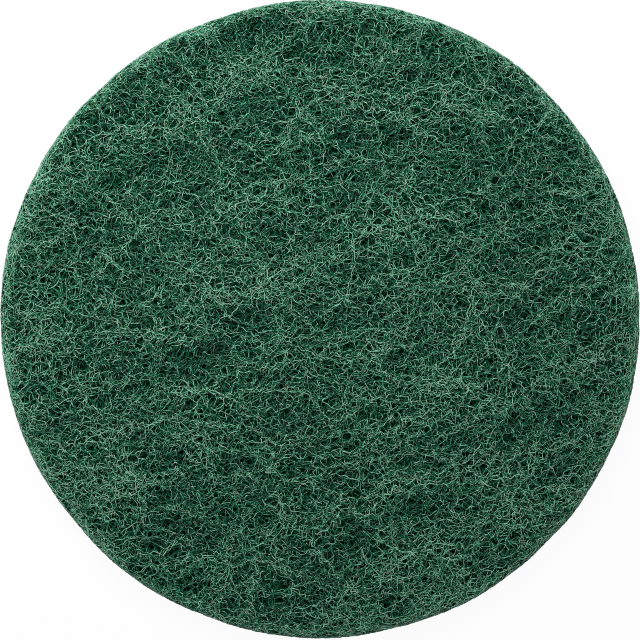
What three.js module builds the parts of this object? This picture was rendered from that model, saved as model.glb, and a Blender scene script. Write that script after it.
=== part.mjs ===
// An abrasive fleece disc: one round of lofty nonwoven web, crimped nylon strands bonded with resin
// and fine grit, cut out by a die. It has no hole, backing or fastener: the hooks of a sander's
// backing pad hold in the web itself. The strands leave open hollows over both faces and the rim,
// and the die has crushed the edge, so that each face rolls off towards the cut.
// Millimetres, +Z up, with the disc lying on z = 0 and the origin at the middle of that face.
import * as THREE from "three";

// Driving dimensions
const DISC_DIAMETER = 150;
const WEB_THICKNESS = 10;

// The crushed edge: how far in from the rim each face starts to roll off, and how far it falls
const TOP_ROLL = 4;
const TOP_FALL = 3.5;
const FOOT_ROLL = 2.5;
const FOOT_FALL = 2.5;

// How far the cut strays from a true circle: lobes round the disc, height, and where the first one lies
const RIM_LOBES = [
  { count: 2, height: 0.14, degrees: 30 },
  { count: 3, height: 0.12, degrees: 125 },
  { count: 4, height: 0.08, degrees: 275 },
  { count: 10, height: 0.06, degrees: 180 },
  { count: 12, height: 0.06, degrees: 310 },
  { count: 16, height: 0.05, degrees: 95 },
];

// The hollows between the strands: most strands were laid one way, so the hollows are longer that way
const HOLLOW_SPACING = 8;
const HOLLOW_DEPTH = 1.6;
const RIM_HOLLOW_DEPTH = 0.35; // the die leaves the cut much truer than the faces
const HOLLOW_LAND = 0.1; // share of the spacing that the strands between two hollows take
const HOLLOW_WALL = 0.7; // share of the spacing at which a hollow's side has fallen
const SHALLOWEST = 0.2; // of the full depth, for the hollow that strands close most
const HOLLOW_SCATTER = 0.8; // how far a hollow's middle may stray in its cell of the lattice
const LAY_ANGLE = 18; // degrees from +X
const LAY_STRETCH = 1.6;

// The middle of the underside is a plain land, which rests on the backing pad's hooks
const SEAT_DIAMETER = 14;

// How far apart the surface's points are, and the fewest steps round a rolled edge
const POINT_SPACING = 2.9;
const ROLL_STEPS = 4;

const FULL_TURN = 2 * Math.PI;
const DISC_RADIUS = DISC_DIAMETER / 2;

// The cut edge's radius at an angle round the disc
function rimRadius(angle) {
  return RIM_LOBES.reduce(
    (radius, lobe) => radius + lobe.height * Math.cos(lobe.count * angle - THREE.MathUtils.degToRad(lobe.degrees)),
    DISC_RADIUS,
  );
}

// The disc's section from the axis out over the top face, down the rim and back in under the foot,
// with a stretch of its own for the seat
function discSection() {
  const section = new THREE.Path();
  section.moveTo(0, WEB_THICKNESS);
  section.lineTo(DISC_RADIUS - TOP_ROLL, WEB_THICKNESS);
  section.absellipse(DISC_RADIUS - TOP_ROLL, WEB_THICKNESS - TOP_FALL, TOP_ROLL, TOP_FALL, Math.PI / 2, 0, true);
  section.lineTo(DISC_RADIUS, FOOT_FALL);
  section.absellipse(DISC_RADIUS - FOOT_ROLL, FOOT_FALL, FOOT_ROLL, FOOT_FALL, 0, -Math.PI / 2, true);
  section.lineTo(SEAT_DIAMETER / 2, 0);
  section.lineTo(0, 0);
  return section;
}

// Places along the section, each with the direction that points out of the web there
function sectionPlaces() {
  const places = [];
  for (const curve of discSection().curves) {
    const fewest = curve.isEllipseCurve ? ROLL_STEPS : 1;
    const steps = Math.max(fewest, Math.round(curve.getLength() / POINT_SPACING));
    for (let step = places.length ? 1 : 0; step <= steps; step++) {
      const at = curve.getPointAt(step / steps);
      const along = curve.getTangentAt(step / steps);
      places.push({ radius: at.x, height: at.y, outward: -along.y, upward: along.x });
    }
  }
  return places;
}

// What each cell of the lattice of hollows draws a number for, and the large primes that set
// neighbouring cells' seeds far apart
const DRAW = { shiftAlong: 1, shiftAcross: 2, openness: 3 };
const SEED_PRIMES = [73856093, 19349663, 83492791, 2654435761];

// A repeatable number from 0 to 1 for one use in one cell
function cellRandom(i, j, k, use) {
  const seed = [i, j, k, use].reduce((mixed, value, n) => mixed ^ (value * SEED_PRIMES[n]), 0);
  return THREE.MathUtils.seededRandom(seed);
}

// How open the web is at a point, from 0 to 1: nothing on the strands that bound a hollow, and most in
// the middle of it. The lattice has one layer of hollows for each face, and they meet round the rim.
function webOpenness(point) {
  const turned = point.clone().applyAxisAngle(new THREE.Vector3(0, 0, 1), -THREE.MathUtils.degToRad(LAY_ANGLE));
  const place = turned.divide(new THREE.Vector3(HOLLOW_SPACING * LAY_STRETCH, HOLLOW_SPACING, WEB_THICKNESS));
  const cell = place.clone().floor();
  let nearest = Infinity;
  let second = Infinity;
  let openness = 0;
  for (let i = cell.x - 1; i <= cell.x + 1; i++)
    for (let j = cell.y - 1; j <= cell.y + 1; j++)
      for (let k = cell.z - 1; k <= cell.z + 1; k++) {
        const middle = new THREE.Vector3(
          i + 0.5 + HOLLOW_SCATTER * (cellRandom(i, j, k, DRAW.shiftAlong) - 0.5),
          j + 0.5 + HOLLOW_SCATTER * (cellRandom(i, j, k, DRAW.shiftAcross) - 0.5),
          k,
        );
        const distance = middle.distanceTo(place);
        if (distance < nearest) {
          second = nearest;
          nearest = distance;
          openness = THREE.MathUtils.lerp(SHALLOWEST, 1, cellRandom(i, j, k, DRAW.openness));
        } else {
          second = Math.min(second, distance);
        }
      }
  return openness * THREE.MathUtils.smoothstep(second - nearest, HOLLOW_LAND, HOLLOW_WALL);
}

// One ring of points on the web's surface, or the single point where the section meets the axis
function surfaceRing(place) {
  const count = Math.max(1, Math.round((FULL_TURN * place.radius) / POINT_SPACING));
  const onSeat = place.upward < 0 && place.radius <= SEAT_DIAMETER / 2;
  const depth = onSeat ? 0 : THREE.MathUtils.lerp(RIM_HOLLOW_DEPTH, HOLLOW_DEPTH, place.upward ** 2);
  return Array.from({ length: count }, (_, n) => {
    const angle = (FULL_TURN * n) / count;
    const radius = (place.radius * rimRadius(angle)) / DISC_RADIUS;
    const point = new THREE.Vector3(radius * Math.cos(angle), radius * Math.sin(angle), place.height);
    const out = new THREE.Vector3(place.outward * Math.cos(angle), place.outward * Math.sin(angle), place.upward);
    return point.addScaledVector(out, -depth * webOpenness(point));
  });
}

// Joins two neighbouring rings with triangles, stepping along whichever ring lags behind
function stitchRings(first, firstCount, second, secondCount) {
  const faces = [];
  let a = 0;
  let b = 0;
  while (a < firstCount || b < secondCount) {
    const firstLags = (a + 1) * secondCount <= (b + 1) * firstCount;
    const here = first + (a % firstCount);
    const there = second + (b % secondCount);
    if (b >= secondCount || (a < firstCount && firstLags)) {
      a++;
      if (firstCount > 1) faces.push(here, there, first + (a % firstCount));
    } else {
      b++;
      if (secondCount > 1) faces.push(here, there, second + (b % secondCount));
    }
  }
  return faces;
}

// The whole disc as one closed surface, set down with its lowest strands on z = 0 and centred there
function webGeometry() {
  const points = [];
  const faces = [];
  let before = null;
  for (const place of sectionPlaces()) {
    const ring = surfaceRing(place);
    const start = points.length;
    points.push(...ring);
    if (before) faces.push(...stitchRings(before.start, before.count, start, ring.length));
    before = { start, count: ring.length };
  }
  const geometry = new THREE.BufferGeometry().setFromPoints(points);
  geometry.setIndex(faces);
  geometry.computeBoundingBox();
  const middle = geometry.boundingBox.getCenter(new THREE.Vector3());
  geometry.translate(-middle.x, -middle.y, -geometry.boundingBox.min.z);
  geometry.computeVertexNormals();
  return geometry;
}

// Green resin over nylon, dulled by the grit in it
const greenWeb = new THREE.MeshStandardMaterial({ color: 0x2a5e46, roughness: 0.8, metalness: 0 });

const fleeceDisc = new THREE.Mesh(webGeometry(), greenWeb);
fleeceDisc.name = "fleece_disc";

const part = new THREE.Group();
part.add(fleeceDisc);

export default part;
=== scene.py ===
# %% [markdown]
# An abrasive fleece disc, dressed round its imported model.
#
# The real disc is die-cut from a lofty nonwoven web: crimped nylon strands, laid mostly one way,
# bonded where they cross by green resin that also holds fine grit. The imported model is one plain
# solid with the disc's true outline, thickness and larger hollows. This lesson turns it into the
# web that the eye sees, with strands, pores and grit. Every length is in metres, in the solid's
# own frame: +Z out of the working face, and the disc lies on z = 0.

import math
from typing import NamedTuple

import bmesh
import bpy
import numpy as np
from mathutils import Euler, Matrix, Vector, noise
from mathutils.bvhtree import BVHTree


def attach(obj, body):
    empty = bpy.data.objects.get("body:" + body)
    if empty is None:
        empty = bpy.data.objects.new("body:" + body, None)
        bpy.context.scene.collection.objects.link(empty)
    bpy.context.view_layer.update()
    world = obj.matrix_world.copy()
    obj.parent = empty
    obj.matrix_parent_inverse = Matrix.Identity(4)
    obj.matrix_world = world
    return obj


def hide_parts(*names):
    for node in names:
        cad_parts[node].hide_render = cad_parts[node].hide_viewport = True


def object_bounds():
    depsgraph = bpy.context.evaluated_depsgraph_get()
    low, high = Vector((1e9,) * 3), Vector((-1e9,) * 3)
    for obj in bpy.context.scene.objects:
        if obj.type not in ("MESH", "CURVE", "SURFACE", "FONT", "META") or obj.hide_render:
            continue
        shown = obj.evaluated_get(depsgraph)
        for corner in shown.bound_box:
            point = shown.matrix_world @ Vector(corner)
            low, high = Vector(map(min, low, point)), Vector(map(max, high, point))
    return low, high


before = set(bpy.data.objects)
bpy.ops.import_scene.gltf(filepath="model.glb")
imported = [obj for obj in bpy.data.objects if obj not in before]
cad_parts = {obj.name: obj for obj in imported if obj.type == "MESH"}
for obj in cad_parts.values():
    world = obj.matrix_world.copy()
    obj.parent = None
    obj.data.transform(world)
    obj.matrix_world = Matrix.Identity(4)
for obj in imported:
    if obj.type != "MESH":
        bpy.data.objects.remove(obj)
cad_low, cad_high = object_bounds()

# %% [markdown]
# The driving sizes come from the solid itself, so the strands follow the disc if it changes. What
# the solid doesn't hold is given in millimetres. A coarse nylon strand is 0.1 to 0.2 mm thick once
# it is coated. The strands were combed one way, and the combed sheet was folded to and fro across a
# belt, so most of them lie near one of two directions.

# %% Driving sizes
MM = 0.001
NODE = "fleece_disc"
BODY = "root"
FULL_TURN = 2 * math.pi

disc_radius = (cad_high.x - cad_low.x + cad_high.y - cad_low.y) / 4
web_thickness = cad_high.z - cad_low.z
half_thickness = web_thickness / 2
core_radius = disc_radius - half_thickness

STRAND_WIDTH = 0.14 * MM
LAY_ANGLE = math.radians(18)
CROSS_ANGLE = math.radians(-38)
LAY_SPREAD = math.radians(24)
LAID_SHARE = 0.65  # of all strands, and the rest lie at any angle
CROSS_SHARE = 0.35  # of the laid strands
print(f"disc {2 * disc_radius / MM:.1f} mm across, {web_thickness / MM:.1f} mm thick")

# %% [markdown]
# The die crushed the web's edge, so the strands lie closer together there. How far a layer sinks
# under the surface is therefore scaled by this share, which is 1 on the faces and falls at the rim.

# %% The crushed edge
CRUSH_WIDTH = 5 * MM
CRUSHED_SHARE = 0.18


def loft(out):
    """How lofty the web is at some distance from the axis, which may be an array"""
    inward = np.clip((disc_radius - out) / CRUSH_WIDTH, 0, 1)
    return CRUSHED_SHARE + (1 - CRUSHED_SHARE) * inward * inward * (3 - 2 * inward)


print(f"loft: {loft(0.0):.2f} at the axis, {loft(disc_radius):.2f} at the rim")

# %% [markdown]
# The form is the surface that everything else is laid on. It is a copy of the solid's mesh, whose
# loose triangles are merged first, so that they share their corners. Each triangle is cut finer and
# the new points are relaxed, because the solid's facets are 3 mm wide and a fleece has none.

# %% The form
FORM_CUTS = 1
RELAX_ROUNDS = 2
RELAX_SHARE = 0.5
MERGE_WITHIN = 0.001 * MM

form = bmesh.new()
form.from_mesh(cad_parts[NODE].data)
bmesh.ops.remove_doubles(form, verts=form.verts, dist=MERGE_WITHIN)
bmesh.ops.subdivide_edges(form, edges=form.edges, cuts=FORM_CUTS, use_grid_fill=True)
bmesh.ops.triangulate(form, faces=form.faces)
for _ in range(RELAX_ROUNDS):
    bmesh.ops.smooth_vert(
        form,
        verts=form.verts,
        factor=RELAX_SHARE,
        use_axis_x=True,
        use_axis_y=True,
        use_axis_z=True,
    )
form.normal_update()
surface = BVHTree.FromBMesh(form)
print(f"form: {len(form.faces)} triangles")

# %% [markdown]
# A material is built from nodes, and one small function adds any of them: it sets what the node is
# told, links what comes from another node, and hands the node back. Colours are written as they
# look on a screen and turned to the linear values that light is reckoned in.


# %% Helpers for materials
def linear(hex_colour):
    """The linear colour, with alpha, of an sRGB hex value such as #2a5e46"""
    shares = [int(hex_colour[i : i + 2], 16) / 255 for i in (1, 3, 5)]
    bent = [c / 12.92 if c <= 0.04045 else ((c + 0.055) / 1.055) ** 2.4 for c in shares]
    return (*bent, 1.0)


def clean_nodes(owner):
    """Gives a new material or world an empty node tree"""
    owner.use_nodes = True
    owner.node_tree.nodes.clear()
    return owner


def add_node(owner, kind, inputs=None, **settings):
    """Adds a node. Each input is a value, or the output socket of another node to link from."""
    tree = owner.node_tree
    node = tree.nodes.new(kind)
    for name, value in settings.items():
        setattr(node, name, value)
    for name, value in (inputs or {}).items():
        if isinstance(value, bpy.types.NodeSocket):
            tree.links.new(value, node.inputs[name])
        else:
            node.inputs[name].default_value = value
    return node


# A Mix node holds sockets for every type of value, and a colour's are these
MIX_FACTOR, MIX_A, MIX_B, MIX_OUT = 0, 6, 7, 2

# Nearly all of a noise texture's values lie between these, round its middle
NOISE_LEVELS = (0.3, 0.7)
NOISE_MIDDLE = (0.5, 0.5, 0.5)

# %% [markdown]
# Resin-coated nylon. The nylon is clear, and the phenolic resin sprayed on it is what gives the
# colour. Each strand carries a tone, and the tone holds painted shade: the strands on top are pale,
# and the ones deeper in are painted darker green, as in the shade of the thousands of strands that
# aren't modelled. Clouds of paler strands lie along the web, and a finer noise makes the tone uneven:
# partly beads of resin, partly painted glints where the crimp would catch the light and painted
# shade where it dips. Both are noise that is added to the tone.

# %% Strand tone
CLOUD_WIDTH = 9 * MM
CLOUD_STRETCH = 4
CLOUD_ANGLE = math.radians(24)
CLOUD_TONE = 0.13
BEAD_AND_GLINT_SIZE = 0.5 * MM
BEAD_AND_GLINT_TONE = 0.3

strand_material = clean_nodes(bpy.data.materials.new("resin_coated_nylon"))
place = add_node(strand_material, "ShaderNodeTexCoord").outputs["Object"]
along_lay = add_node(
    strand_material,
    "ShaderNodeMapping",
    {"Vector": place, "Rotation": (0, 0, CLOUD_ANGLE), "Scale": (CLOUD_STRETCH, 1, 1)},
    vector_type="TEXTURE",
)
clouds = add_node(
    strand_material,
    "ShaderNodeTexNoise",
    {"Vector": along_lay.outputs[0], "Scale": 1 / CLOUD_WIDTH, "Detail": 2.0},
)
# Partly beads of resin, partly painted glints and painted shade along the crimp
beads_and_glints = add_node(
    strand_material, "ShaderNodeTexNoise", {"Vector": place, "Scale": 1 / BEAD_AND_GLINT_SIZE, "Detail": 1.0}
)
strand_tone = add_node(strand_material, "ShaderNodeAttribute", attribute_name="tone").outputs["Fac"]
for pattern, change in ((clouds, CLOUD_TONE), (beads_and_glints, BEAD_AND_GLINT_TONE)):
    shift = add_node(
        strand_material,
        "ShaderNodeMapRange",
        {
            "Value": pattern.outputs[0],
            "From Min": NOISE_LEVELS[0],
            "From Max": NOISE_LEVELS[1],
            "To Min": -change,
            "To Max": change,
        },
    )
    strand_tone = add_node(
        strand_material, "ShaderNodeMath", {0: strand_tone, 1: shift.outputs[0]}, operation="ADD"
    ).outputs[0]
print("strand tone:", len(strand_material.node_tree.nodes), "nodes")

# %% [markdown]
# The tone then picks a colour from a ramp. Here and there the grit lies so thick that it tints the
# resin beige, so there is a second ramp, and patches of noise mix the two. Cured resin is glassy,
# but the grit in it breaks the shine up, so the strands are satin.

# %% Strand colour
# Low tones, given to the deeper strands as painted shade, pick the dark colours of both ramps
TONE_COLOURS = {0.0: "#01271a", 0.35: "#065a3f", 0.65: "#1a865c", 1.0: "#93d0b2"}
GRITTY_COLOURS = {0.0: "#0b1611", 0.35: "#34443b", 0.65: "#66705f", 1.0: "#c0bca8"}
GRIT_PATCH = 0.9 * MM
PATCH_LEVELS = (0.54, 0.74)
PATCH_SHARE = 0.7
RESIN_ROUGHNESS = 0.4
RESIN_IOR = 1.55
RESIN_SHINE = 0.3


def tone_ramp(owner, tone, colours):
    """A colour ramp that turns a tone into one of the colours, each given with its level"""
    node = add_node(owner, "ShaderNodeValToRGB", {"Fac": tone})
    stops = node.color_ramp.elements
    for level in list(colours)[1:-1]:
        stops.new(level)
    for stop, (level, colour) in zip(stops, colours.items()):
        stop.position = level
        stop.color = linear(colour)
    return node.outputs[0]


patches = add_node(
    strand_material, "ShaderNodeTexNoise", {"Vector": place, "Scale": 1 / GRIT_PATCH, "Detail": 1.0}
)
grittiness = add_node(
    strand_material,
    "ShaderNodeMapRange",
    {
        "Value": patches.outputs[0],
        "From Min": PATCH_LEVELS[0],
        "From Max": PATCH_LEVELS[1],
        "To Max": PATCH_SHARE,
    },
)
resin_colour = add_node(
    strand_material,
    "ShaderNodeMix",
    {
        MIX_FACTOR: grittiness.outputs[0],
        MIX_A: tone_ramp(strand_material, strand_tone, TONE_COLOURS),
        MIX_B: tone_ramp(strand_material, strand_tone, GRITTY_COLOURS),
    },
    data_type="RGBA",
)
resin = add_node(
    strand_material,
    "ShaderNodeBsdfPrincipled",
    {
        "Base Color": resin_colour.outputs[MIX_OUT],
        "Roughness": RESIN_ROUGHNESS,
        "IOR": RESIN_IOR,
        "Specular IOR Level": RESIN_SHINE,
    },
)
add_node(strand_material, "ShaderNodeOutputMaterial", {"Surface": resin.outputs[0]})
print("strand material:", len(strand_material.node_tree.nodes), "nodes")

# %% [markdown]
# Deeper in, the eye sees dark green threads over black gaps. There they are drawn rather than
# modelled: the web's inner part is one closed body whose colour and bump show two nets of threads,
# one over the other, from the edges between the cells of a Voronoi pattern, bent by noise so that
# none runs straight. Their dark green and the black gaps are painted shade, for the depth of web
# that isn't modelled.

# %% Threads of the inner web
PLAN_MAP = "web_plan"
THREAD_CORE = 0.3  # of a thread's half width, and from there its sides fall away

inner_material = clean_nodes(bpy.data.materials.new("shaded_inner_web"))
plan = add_node(inner_material, "ShaderNodeUVMap", uv_map=PLAN_MAP).outputs[0]


def net_threads(net):
    """Where the threads of a net lie on the flat map: 1 on a thread, and 0 between them"""
    wobble = add_node(
        inner_material, "ShaderNodeTexNoise", {"Vector": plan, "Scale": 1 / net["cell"], "Detail": 2.0}
    )
    centred = add_node(
        inner_material,
        "ShaderNodeVectorMath",
        {0: wobble.outputs["Color"], 1: NOISE_MIDDLE},
        operation="SUBTRACT",
    )
    shift = add_node(
        inner_material,
        "ShaderNodeVectorMath",
        {0: centred.outputs[0], "Scale": 2 * net["bend"]},
        operation="SCALE",
    )
    bent = add_node(
        inner_material, "ShaderNodeVectorMath", {0: plan, 1: shift.outputs[0]}, operation="ADD"
    )
    cells = add_node(
        inner_material,
        "ShaderNodeTexVoronoi",
        {"Vector": bent.outputs[0], "Scale": 1 / net["cell"]},
        feature="DISTANCE_TO_EDGE",
        voronoi_dimensions="2D",
    )
    thread = add_node(
        inner_material,
        "ShaderNodeMapRange",
        {
            "Value": cells.outputs["Distance"],
            "From Min": THREAD_CORE * net["line"],
            "From Max": net["line"],
            "To Min": 1.0,
            "To Max": 0.0,
        },
        interpolation_type="SMOOTHSTEP",
    )
    return thread.outputs[0]


print("inner web's map:", PLAN_MAP)

# %% [markdown]
# The upper net is drawn over the lower one, and its threads alone stand proud. All threads are
# painted paler in the underside, with less painted shade, because fewer strands cover them there.
# The gaps are painted black as shade, since a gap lets no light out, so this material has no shine.

# %% Inner web material
# Painted shade: the black of the gaps. The nets' colours are painted shade too, paler in the underside
PAINTED_GAP_SHADE = "#010805"
# A cell's size, how far its edges bend, and half a thread's width as a share of the cell
NETS = (
    {"cell": 1.1 * MM, "bend": 0.6 * MM, "line": 0.2, "colour": "#0b3222", "below": "#12583b"},
    {"cell": 1.5 * MM, "bend": 0.9 * MM, "line": 0.14, "colour": "#1c5c40", "below": "#4c9a77"},
)
BELOW_FADE = 2.5 * MM

inner_place = add_node(inner_material, "ShaderNodeTexCoord").outputs["Object"]
height = add_node(inner_material, "ShaderNodeSeparateXYZ", {"Vector": inner_place}).outputs["Z"]
below = add_node(
    inner_material,
    "ShaderNodeMapRange",
    {"Value": height, "From Max": BELOW_FADE, "To Min": 1.0, "To Max": 0.0},
)
inner_colour = linear(PAINTED_GAP_SHADE)
for net in NETS:
    threads = net_threads(net)
    net_colour = add_node(
        inner_material,
        "ShaderNodeMix",
        {MIX_FACTOR: below.outputs[0], MIX_A: linear(net["colour"]), MIX_B: linear(net["below"])},
        data_type="RGBA",
    ).outputs[MIX_OUT]
    inner_colour = add_node(
        inner_material,
        "ShaderNodeMix",
        {MIX_FACTOR: threads, MIX_A: inner_colour, MIX_B: net_colour},
        data_type="RGBA",
    ).outputs[MIX_OUT]
relief = add_node(inner_material, "ShaderNodeBump", {"Height": threads, "Distance": STRAND_WIDTH})
inner = add_node(
    inner_material,
    "ShaderNodeBsdfPrincipled",
    {
        "Base Color": inner_colour,
        "Roughness": 1.0,
        "Specular IOR Level": 0.0,
        "Normal": relief.outputs[0],
    },
)
add_node(inner_material, "ShaderNodeOutputMaterial", {"Surface": inner.outputs[0]})
print("inner web material:", len(inner_material.node_tree.nodes), "nodes")

# %% [markdown]
# Every piece ends the same way: its mesh gets its material, it is linked into the scene at the
# origin, it rides on the disc's one body and it stands for the plain solid.


# %% Helper that dresses a piece
def add_piece(name, mesh, material):
    """Makes an object of a finished mesh and fastens it to the frame"""
    mesh.name = name
    mesh.materials.clear()
    mesh.materials.append(material)
    piece = bpy.data.objects.new(name, mesh)
    bpy.context.scene.collection.objects.link(piece)
    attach(piece, BODY)
    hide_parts(NODE)
    mesh.calc_loop_triangles()
    print(f"{name}: {len(mesh.loop_triangles)} triangles")


# %% [markdown]
# The inner web is the form again, drawn in under the strands. Noise moves each of its points, so
# that it has pits of its own. It lies less deep in the underside, which gets fewer strands. Its
# pattern lies on a flat map, on which the rim is rolled out round the top face and the underside
# lies beside them, so that no thread is stretched.

# %% Inner web
INNER_DEPTH = 1.9 * MM
UNDERSIDE_DEPTH = 0.9 * MM
PIT_DEPTH = 0.5 * MM
PIT_SIZE = 3 * MM
UNDERSIDE_SHIFT = 3 * disc_radius


def plan_place(point, under):
    """A point's place on the flat map"""
    if under:
        return point.x + UNDERSIDE_SHIFT, point.y
    out = math.hypot(point.x, point.y)
    if out <= core_radius:
        return point.x, point.y
    climb = math.atan2(point.z - half_thickness, out - core_radius)
    stretch = (core_radius + half_thickness * (math.pi / 2 - climb)) / out
    return point.x * stretch, point.y * stretch


inner_form = form.copy()
plan_map = inner_form.loops.layers.uv.new(PLAN_MAP)
for face in inner_form.faces:
    middle = face.calc_center_median()
    under = middle.z < half_thickness and math.hypot(middle.x, middle.y) < core_radius
    for corner in face.loops:
        corner[plan_map].uv = plan_place(corner.vert.co, under)
for vert in inner_form.verts:
    height_share = vert.co.z / web_thickness
    sunk = UNDERSIDE_DEPTH + (INNER_DEPTH - UNDERSIDE_DEPTH) * height_share
    sunk += PIT_DEPTH * noise.noise(vert.co / PIT_SIZE)
    vert.co -= vert.normal * sunk * float(loft(math.hypot(vert.co.x, vert.co.y)))
inner_mesh = bpy.data.meshes.new("inner_web")
inner_form.to_mesh(inner_mesh)
inner_form.free()
inner_mesh.shade_smooth()
add_piece("inner_web", inner_mesh, inner_material)

# %% [markdown]
# The strands are what the eye sees most of, so they are real geometry. A crimped strand is a walk
# of short steps: its heading swings to and fro with the crimp, wanders slowly and kinks at random,
# and a second wave lifts and sinks it so that it weaves over and under its neighbours.

# %% Helpers that walk the strands
STEP = 1.25 * MM
STAPLE = 38 * MM
CRIMP_WAVE = (2.5 * MM, 4.2 * MM)
CRIMP_SWING = (math.radians(35), math.radians(70))
WANDER = math.radians(7)
KINK = math.radians(26)


def laid_headings(rng, count):
    """Most strands follow the lay or cross it the other way, and the rest lie at any angle"""
    lay = np.where(rng.random(count) < CROSS_SHARE, CROSS_ANGLE, LAY_ANGLE)
    combed = rng.normal(lay, LAY_SPREAD)
    loose = rng.uniform(0, math.pi, count)
    return np.where(rng.random(count) < LAID_SHARE, combed, loose)


def waves(rng, count, steps, lengths):
    """A sine wave for each strand, with a length and a start of its own"""
    along = np.arange(steps)[None, :] * STEP
    length = rng.uniform(*lengths, (count, 1))
    start = rng.uniform(0, FULL_TURN, (count, 1))
    return np.sin(FULL_TURN * along / length + start)


def crimped_walks(rng, headings, steps):
    """Flat paths, each centred on its own middle, as an array of strand, step and x or y"""
    count = len(headings)
    swing = rng.uniform(*CRIMP_SWING, (count, 1)) * waves(rng, count, steps, CRIMP_WAVE)
    wander = np.cumsum(rng.normal(0, WANDER, (count, steps)), axis=1)
    kinks = rng.normal(0, KINK, (count, steps))
    heading = headings[:, None] + swing + wander + kinks
    path = np.cumsum(np.stack([np.cos(heading), np.sin(heading)], axis=2) * STEP, axis=1)
    return path - path.mean(axis=1, keepdims=True)


print(f"a strand is {STAPLE / MM:.0f} mm long, in {round(STAPLE / STEP)} steps")

# %% [markdown]
# Strands bunch together and leave small pores between them, a few millimetres apart and a little
# longer the way of the lay. Chance alone gives too few, so every layer is parted round the same
# pores: a point inside one is pushed out to its edge, and a point far from it hardly moves.

# %% Pores
PORE_SPACING = 4.2 * MM
PORE_RADIUS = (0.3 * MM, 1.05 * MM)
PORE_STRETCH = 1.35
PORE_SCATTER = (0.1, 0.9)  # where a pore's middle may lie in its cell of the lattice
PORE_SEED = 5
PUSH_POWER = 3

pore_rows = 1 + math.ceil((disc_radius + STAPLE) / PORE_SPACING)
pore_rng = np.random.default_rng(PORE_SEED)
pore_shifts = pore_rng.uniform(*PORE_SCATTER, (2 * pore_rows, 2 * pore_rows, 2))
pore_radii = pore_rng.uniform(*PORE_RADIUS, (2 * pore_rows, 2 * pore_rows, 1))
to_lay = np.array(
    [[math.cos(LAY_ANGLE), -math.sin(LAY_ANGLE)], [math.sin(LAY_ANGLE), math.cos(LAY_ANGLE)]]
)


def parted(points, share):
    """Pushes flat points out of the pores, which in that layer have a share of their full size"""
    laid_points = points @ to_lay / [PORE_STRETCH, 1]
    cells = np.floor(laid_points / PORE_SPACING).astype(int)
    moved = laid_points.copy()
    for across in (-1, 0, 1):
        for along in (-1, 0, 1):
            near = cells + [along, across]
            row, column = np.moveaxis(np.clip(near + pore_rows, 0, 2 * pore_rows - 1), -1, 0)
            away = laid_points - (near + pore_shifts[row, column]) * PORE_SPACING
            distance = np.linalg.norm(away, axis=-1, keepdims=True) + MERGE_WITHIN
            radius = share * pore_radii[row, column]
            pushed = (distance**PUSH_POWER + radius**PUSH_POWER) ** (1 / PUSH_POWER)
            moved += away * (pushed / distance - 1)
    return moved * [PORE_STRETCH, 1] @ to_lay.T


print(f"pores: a lattice of {2 * pore_rows} by {2 * pore_rows}")

# %% [markdown]
# A strand becomes a tube with three sides, the fewest that can close. Blender's own curve bevel
# makes the tubes: each strand is one open line of a curve object, and the section is a small
# triangle. The ends are closed afterwards, because the curve's own caps would be loose faces. The
# mesh keeps the curve's order, three corners for each point, so each strand's tone can be written
# on its corners.

# %% Helper that makes tubes
SIDES = 3

section_curve = bpy.data.curves.new("strand_section", "CURVE")
section_curve.dimensions = "2D"
section_line = section_curve.splines.new("POLY")
section_line.points.add(SIDES - 1)
for turn, corner in enumerate(section_line.points):
    angle = FULL_TURN * turn / SIDES
    corner.co = (math.cos(angle), math.sin(angle), 0, 1)
section_line.use_cyclic_u = True
strand_section = bpy.data.objects.new("strand_section", section_curve)


def tubes(strands, radii, tones):
    """One mesh of closed tubes. Each argument holds one array a strand, with one row a point."""
    curve = bpy.data.curves.new("strand_lines", "CURVE")
    curve.dimensions = "3D"
    curve.bevel_mode = "OBJECT"
    curve.bevel_object = strand_section
    for points, radius in zip(strands, radii):
        line = curve.splines.new("POLY")
        line.points.add(len(points) - 1)
        line.points.foreach_set("co", np.column_stack([points, np.ones(len(points))]).ravel())
        line.points.foreach_set("radius", radius)
    cage = bpy.data.objects.new("strand_lines", curve)
    bpy.context.scene.collection.objects.link(cage)
    bpy.context.view_layer.update()
    mesh = bpy.data.meshes.new_from_object(cage.evaluated_get(bpy.context.evaluated_depsgraph_get()))
    bpy.data.objects.remove(cage)
    shell = bmesh.new()
    shell.from_mesh(mesh)
    bmesh.ops.holes_fill(shell, edges=shell.edges, sides=SIDES)
    bmesh.ops.recalc_face_normals(shell, faces=shell.faces)
    shell.to_mesh(mesh)
    shell.free()
    tone = mesh.attributes.new("tone", "FLOAT", "POINT")
    tone.data.foreach_set("value", np.repeat(np.concatenate(tones), SIDES).astype(np.float32))
    mesh.shade_smooth()
    return mesh


def tube_triangles(points):
    """How many triangles a tube of that many points has, its two ends included"""
    return 2 * SIDES * (points - 1) + 2 * (SIDES - 2)


print(f"a tube of {round(STAPLE / STEP)} points has {tube_triangles(round(STAPLE / STEP))} triangles")

# %% [markdown]
# A strand isn't of one thickness or at one depth. Slow waves make it dive into the web and come up
# again, and the crimp lifts it as it swings. What sets one layer apart from the next is kept
# together under one name.

# %% What a layer of strands is
DIVE_WAVE = (6 * MM, 14 * MM)
WIDTH_SPREAD = (0.8, 1.3)
SWELL = 0.15
TRIANGLE_FILL = 1.2  # a triangle as wide as the strand has its corners this much further out


class StrandLayer(NamedTuple):
    """A layer of strands: its piece's name, its seed, how much of it there is, and how it lies"""

    name: str
    seed: int
    triangles: int
    depth: float
    dive: float = 0.25 * MM
    lift: float = 0.5 * MM
    pores: float = 1.0
    facing: int = 1


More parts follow.
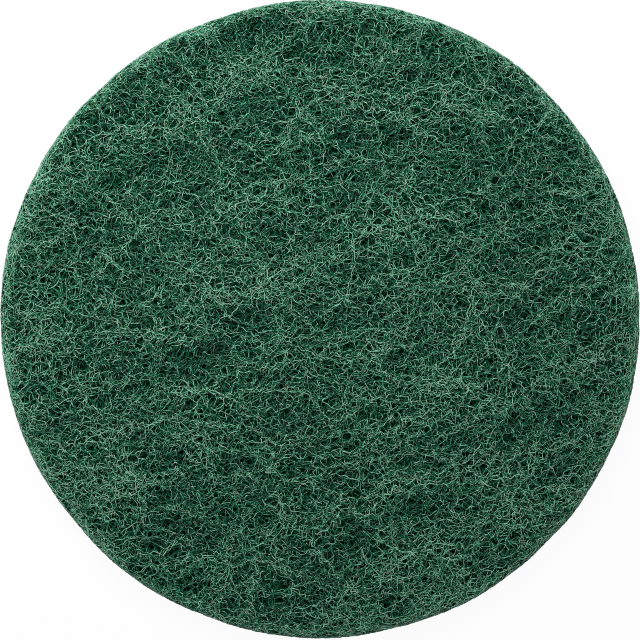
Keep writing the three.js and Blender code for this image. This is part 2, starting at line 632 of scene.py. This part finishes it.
def sunk_depth(rng, layer, count, steps):
    """How deep each strand lies at each step, before the crushed edge is reckoned in"""
    dive = layer.dive * waves(rng, count, steps, DIVE_WAVE)
    lift = layer.lift * waves(rng, count, steps, CRIMP_WAVE)
    return np.maximum(layer.depth + dive + lift, STRAND_WIDTH)


def strand_radii(rng, count, steps):
    """The radius of each tube at each step"""
    swell = 1 + SWELL * waves(rng, count, steps, CRIMP_WAVE)
    return STRAND_WIDTH / 2 * TRIANGLE_FILL * rng.uniform(*WIDTH_SPREAD, (count, 1)) * swell


print("a layer has", ", ".join(StrandLayer._fields))

# %% [markdown]
# Each layer's strands are draped: at every step a ray comes in on the form, and the point is set
# below the place that it hits, by the strand's own depth there. A strand is cut where its rays miss
# the form, as the die cut it, and a layer is full when its triangles are used up. Along the edge the
# strands are painted paler: painted light, for the light from the white surroundings on the crushed
# rim.

# %% Helpers that lay the strands
RAY_START = 50 * MM
FEWEST_POINTS = 4
TOP_TONE = 0.95
TONE_SPREAD = 0.22
RIM_PAINTED_LIGHT = 0.2
RIM_PAINTED_LIGHT_POWER = 3

laid_strands = {}


def draped(starts, ways, wanted, sunk):
    """One strand's points under the places that its rays hit, with a gap where none is wanted"""
    points = np.full(starts.shape, np.nan)
    for step in np.flatnonzero(wanted):
        hit, normal, _, _ = surface.ray_cast(Vector(starts[step]), Vector(ways[step]))
        if hit is not None:
            points[step] = hit - normal * sunk[step]
    return points


def whole_runs(points):
    """The unbroken stretches of a strand, as pairs of first and last step"""
    held = ~np.isnan(points[:, 0])
    edges = np.flatnonzero(np.diff(np.concatenate([[False], held, [False]]).astype(int)))
    return [(first, last) for first, last in edges.reshape(-1, 2) if last - first >= FEWEST_POINTS]


def lay_strands(rng, layer, starts, ways, wanted, depth, crush):
    """Makes a piece of the strands whose rays go from starts along ways, at the steps wanted"""
    count, steps = depth.shape
    radii = strand_radii(rng, count, steps)
    # Painted shade: the deeper a strand lies, the lower its tone, and each strand's tone also differs
    # at random
    tones = TOP_TONE * (1 - depth / INNER_DEPTH) + rng.normal(0, TONE_SPREAD, (count, 1))
    # Painted light: the strands grow paler towards the crushed edge
    tones += RIM_PAINTED_LIGHT * ((1 - crush) / (1 - CRUSHED_SHARE)) ** RIM_PAINTED_LIGHT_POWER
    sunk = depth * crush
    kept = {"strands": [], "radii": [], "tones": []}
    left = layer.triangles
    for n in range(count):
        points = draped(starts[n], ways[n], wanted[n], sunk[n])
        for first, last in whole_runs(points):
            if tube_triangles(last - first) <= left:
                left -= tube_triangles(last - first)
                kept["strands"].append(points[first:last])
                kept["radii"].append(radii[n, first:last])
                kept["tones"].append(np.clip(tones[n, first:last], 0, 1))
    laid_strands[layer.name] = kept["strands"]
    add_piece(layer.name, tubes(**kept), strand_material)


print(f"rays start {RAY_START / MM:.0f} mm out")

# %% [markdown]
# The working face has four layers, each deeper than the last, and the deepest are less parted by
# the pores. The underside, which the disc lies on, has one. A layer's strands start evenly spread
# over the disc and a little beyond it, so that those from outside cross the rim too.

# %% The strands of the faces
CUT_INSET = 0.1 * MM
GOLDEN_ANGLE = math.pi * (3 - math.sqrt(5))
OVERHANG = STAPLE / 3
SPARE_STRANDS = 1.25

FACE_LAYERS = (
    StrandLayer("upper_strands", seed=11, triangles=197000, depth=0.35 * MM),
    StrandLayer("middle_strands", seed=12, triangles=197000, depth=0.7 * MM),
    StrandLayer("lower_strands", seed=13, triangles=197000, depth=1.1 * MM, pores=0.8),
    StrandLayer("deep_strands", seed=14, triangles=100000, depth=1.5 * MM, pores=0.6),
    StrandLayer("underside_strands", seed=15, triangles=127000, depth=0.5 * MM, facing=-1),
)


def spread_over_disc(rng, count, radius):
    """Points spread evenly over a circle, in random order"""
    place = rng.permutation(count) + 0.5
    out = radius * np.sqrt(place / count)
    angle = place * GOLDEN_ANGLE
    return np.column_stack([out * np.cos(angle), out * np.sin(angle)])


def face_strands(layer):
    """One layer of strands on the face that looks up or down"""
    rng = np.random.default_rng(layer.seed)
    steps = round(STAPLE / STEP)
    reach = disc_radius + OVERHANG
    inside = layer.triangles / tube_triangles(steps)
    count = round(SPARE_STRANDS * inside * (reach / disc_radius) ** 2)
    paths = crimped_walks(rng, laid_headings(rng, count), steps)
    paths = parted(paths + spread_over_disc(rng, count, reach)[:, None, :], layer.pores)
    out = np.linalg.norm(paths, axis=2)
    depth = sunk_depth(rng, layer, count, steps)
    starts = np.dstack([paths, np.full(out.shape, layer.facing * RAY_START)])
    ways = np.zeros(starts.shape)
    ways[..., 2] = -layer.facing
    lay_strands(rng, layer, starts, ways, out < disc_radius - CUT_INSET, depth, loft(out))


for layer in FACE_LAYERS:
    face_strands(layer)

# %% [markdown]
# Round the rim the strands are laid on the rolled edge and the cut wall. A strand's flat path is
# wound round the rim: one way is along the rim, and the other climbs the section, as an angle about
# the middle of the rim's thickness. Rays come in from outside towards that core circle. The strands
# end at different heights, so that no line shows where they meet those of the faces.

# %% The strands of the rim
RIM_LAYER = StrandLayer(
    "rim_strands", seed=21, triangles=130000, depth=0.65 * MM, dive=0.45 * MM, lift=0.4 * MM
)
RIM_STAPLE = 15 * MM
RIM_SPREAD = math.radians(40)
LOWEST_CLIMB = math.radians(-80)
HIGHEST_CLIMB = math.radians(85)
CLIMB_FEATHER = math.radians(35)


def rim_strands(layer):
    """A layer of strands wound round the rim"""
    rng = np.random.default_rng(layer.seed)
    steps = round(RIM_STAPLE / STEP)
    count = round(SPARE_STRANDS**2 * layer.triangles / tube_triangles(steps))
    walks = crimped_walks(rng, rng.normal(0, RIM_SPREAD, count), steps)
    turn = rng.uniform(0, FULL_TURN, (count, 1)) + walks[..., 0] / disc_radius
    climb = rng.uniform(LOWEST_CLIMB, HIGHEST_CLIMB, (count, 1)) + walks[..., 1] / half_thickness
    short_of = CLIMB_FEATHER * rng.random((count, 1))
    wanted = (climb > LOWEST_CLIMB + short_of) & (climb < HIGHEST_CLIMB - short_of)
    around = np.stack([np.cos(turn), np.sin(turn), np.zeros(turn.shape)], axis=2)
    outward = around * np.cos(climb)[..., None]
    outward[..., 2] = np.sin(climb)
    starts = around * core_radius + outward * RAY_START
    starts[..., 2] += half_thickness
    depth = sunk_depth(rng, layer, count, steps)
    crush = loft(core_radius + half_thickness * np.cos(climb))
    lay_strands(rng, layer, starts, -outward, wanted, depth, crush)


rim_strands(RIM_LAYER)

# %% [markdown]
# The grit is aluminium oxide, far finer than a strand, and it is held in the resin. Only clumps of
# it show, as pale and rust-brown specks on the strands. They are drawn coarser than they are, so
# that they show at all. Each is a chip with four faces, the fewest that can close, set on a point
# of an upper strand.

# %% Grit
GRAIN_COUNT = 1800
GRAIN_SIZE = (0.14 * MM, 0.28 * MM)
GRAIN_SIDES = 3
GRIT_SEED = 31
BROWN_GRIT = "#6f4a3e"
PALE_GRIT = "#d6d6c6"
GRIT_ROUGHNESS = 0.35

grit_material = clean_nodes(bpy.data.materials.new("alumina_grit"))
grit_tone = add_node(grit_material, "ShaderNodeAttribute", attribute_name="tone")
grit_colour = add_node(
    grit_material,
    "ShaderNodeMix",
    {MIX_FACTOR: grit_tone.outputs["Fac"], MIX_A: linear(BROWN_GRIT), MIX_B: linear(PALE_GRIT)},
    data_type="RGBA",
)
grit = add_node(
    grit_material,
    "ShaderNodeBsdfPrincipled",
    {"Base Color": grit_colour.outputs[MIX_OUT], "Roughness": GRIT_ROUGHNESS},
)
add_node(grit_material, "ShaderNodeOutputMaterial", {"Surface": grit.outputs[0]})

grit_rng = np.random.default_rng(GRIT_SEED)
perches = np.concatenate(laid_strands["upper_strands"] + laid_strands["rim_strands"])
chips = bmesh.new()
chip_tone = chips.verts.layers.float.new("tone")
for perch in perches[grit_rng.choice(len(perches), GRAIN_COUNT, replace=False)]:
    size = grit_rng.uniform(*GRAIN_SIZE)
    turned = Euler(grit_rng.uniform(0, FULL_TURN, 3)).to_matrix().to_4x4()
    chip = bmesh.ops.create_cone(
        chips,
        segments=GRAIN_SIDES,
        radius1=size / 2,
        radius2=0,
        depth=size,
        cap_ends=True,
        matrix=Matrix.Translation(perch) @ turned,
    )
    paleness = grit_rng.random()
    for vert in chip["verts"]:
        vert[chip_tone] = paleness
grit_mesh = bpy.data.meshes.new("grit")
chips.to_mesh(grit_mesh)
chips.free()
add_piece("grit", grit_mesh, grit_material)

# %% [markdown]
# The disc lies on a plain white sheet and is seen from straight above, so the camera looks down
# with a long lens. It stands at the height from which the rim, where it is widest, fills the frame
# as in the photo. The strands that make the outline lie a little inside the solid's.

# %% Camera
FRAME_PX = 640
DISC_RADIUS_PX = 318.8
DISC_CENTRE_PX = (320.1, 319.0)
LENS_MM = 100
SENSOR_MM = 36
WIDEST_SHARE = 0.65  # of the thickness, from the foot up
OUTLINE_INSET = 0.3 * MM

px = (disc_radius - OUTLINE_INSET) / DISC_RADIUS_PX
camera_data = bpy.data.cameras.new("camera")
camera_data.lens = LENS_MM
camera_data.sensor_width = SENSOR_MM
camera = bpy.data.objects.new("camera", camera_data)
bpy.context.scene.collection.objects.link(camera)
camera.location = (
    (FRAME_PX / 2 - DISC_CENTRE_PX[0]) * px,
    (DISC_CENTRE_PX[1] - FRAME_PX / 2) * px,
    WIDEST_SHARE * web_thickness + FRAME_PX * px * LENS_MM / SENSOR_MM,
)
bpy.context.scene.camera = camera
print(f"camera {camera.location.z:.3f} m above the floor, one pixel is {px / MM:.3f} mm")

# %% [markdown]
# A strand is under a pixel wide, and there are few pixels without one. The denoiser takes strands
# for noise and smears them, and the usual wider filter blurs each into its neighbours, so the
# denoiser is off and the filter is one pixel wide. The light is simple enough to leave hardly any
# noise.

# %% Picture
FILTER_PX = 1.0

bpy.context.scene.view_settings.view_transform = "Standard"
bpy.context.scene.cycles.use_denoising = False
bpy.context.scene.cycles.filter_width = FILTER_PX
print("denoiser off, filter", FILTER_PX, "pixel wide")

# %% [markdown]
# Soft light comes from above and from the photo's upper edge, and a weak pale sky fills the
# shadows. The sky looks white to the camera and in a gloss, but gives the disc no more light than
# that: the Light Path node tells the rays that see the background from the ones that carry light.

# %% Light
WHITE = (1, 1, 1, 1)
SKY_FILL = 0.18
KEY_PLACE = (-0.09, 0.2, 0.3)
KEY_SIZE = 0.18
KEY_POWER = 1.4


def background_rays(owner):
    """1 for rays that see the background, directly, in a gloss or through glass, and 0 for light"""
    rays = add_node(owner, "ShaderNodeLightPath")
    seen = rays.outputs["Is Camera Ray"]
    for kind in ("Is Glossy Ray", "Is Transmission Ray"):
        wider = add_node(owner, "ShaderNodeMath", {0: seen, 1: rays.outputs[kind]}, operation="MAXIMUM")
        seen = wider.outputs[0]
    return seen


world = clean_nodes(bpy.data.worlds.new("studio"))
sky_strength = add_node(
    world, "ShaderNodeMapRange", {"Value": background_rays(world), "To Min": SKY_FILL, "To Max": 1.0}
)
sky = add_node(world, "ShaderNodeBackground", {"Color": WHITE, "Strength": sky_strength.outputs[0]})
add_node(world, "ShaderNodeOutputWorld", {"Surface": sky.outputs[0]})
bpy.context.scene.world = world

lamp = bpy.data.lights.new("key_light", "AREA")
lamp.shape = "SQUARE"
lamp.size = KEY_SIZE
lamp.energy = KEY_POWER
key_light = bpy.data.objects.new("key_light", lamp)
bpy.context.scene.collection.objects.link(key_light)
key_light.location = KEY_PLACE
key_light.rotation_euler = (-Vector(KEY_PLACE)).to_track_quat("-Z", "Y").to_euler()
print(f"key light {Vector(KEY_PLACE).length:.2f} m from the disc, {KEY_POWER} W")

# %% [markdown]
# A plain card would look grey wherever less light falls on it. So the sheet is a card that also
# glows white, for the rays that see the background alone. The glow is full far out, leaves some of
# the disc's shadow close to it, and ends under it, where a real sheet lies in the dark.

# %% Floor
FLOOR_SIZE = 4.0
SHEET_WHITE = "#f4f4f4"
SHEET_ROUGHNESS = 0.9
GLOW_NEAR = 0.96
UNDER_DISC = (disc_radius - 4 * MM, disc_radius - 0.5 * MM)
GLOW_RISE = (disc_radius + 30 * MM, disc_radius + 200 * MM)

floor_material = clean_nodes(bpy.data.materials.new("white_sheet"))
sheet_place = add_node(floor_material, "ShaderNodeTexCoord").outputs["Object"]
from_axis = add_node(floor_material, "ShaderNodeVectorMath", {0: sheet_place}, operation="LENGTH")
glowing = background_rays(floor_material)
for (near, far), least, most in ((UNDER_DISC, 0.0, 1.0), (GLOW_RISE, GLOW_NEAR, 1.0)):
    rise = add_node(
        floor_material,
        "ShaderNodeMapRange",
        {
            "Value": from_axis.outputs["Value"],
            "From Min": near,
            "From Max": far,
            "To Min": least,
            "To Max": most,
        },
        interpolation_type="SMOOTHSTEP",
    )
    glowing = add_node(
        floor_material, "ShaderNodeMath", {0: glowing, 1: rise.outputs[0]}, operation="MULTIPLY"
    ).outputs[0]
card = add_node(
    floor_material,
    "ShaderNodeBsdfPrincipled",
    {"Base Color": linear(SHEET_WHITE), "Roughness": SHEET_ROUGHNESS},
)
glow = add_node(floor_material, "ShaderNodeEmission", {"Color": WHITE, "Strength": 1.0})
white = add_node(
    floor_material, "ShaderNodeMixShader", {0: glowing, 1: card.outputs[0], 2: glow.outputs[0]}
)
add_node(floor_material, "ShaderNodeOutputMaterial", {"Surface": white.outputs[0]})

sheet = bmesh.new()
bmesh.ops.create_grid(sheet, x_segments=1, y_segments=1, size=FLOOR_SIZE / 2)
floor_mesh = bpy.data.meshes.new("floor")
sheet.to_mesh(floor_mesh)
sheet.free()
floor_mesh.materials.append(floor_material)
floor = bpy.data.objects.new("floor", floor_mesh)
bpy.context.scene.collection.objects.link(floor)
print(f"floor {FLOOR_SIZE:.0f} m wide")

# %% [markdown]
# Last, the form is freed, as nothing more is laid on it. The strands have to stay in the solid's
# box but for a little that fabric may stand proud.

# %% Freeing the form
form.free()
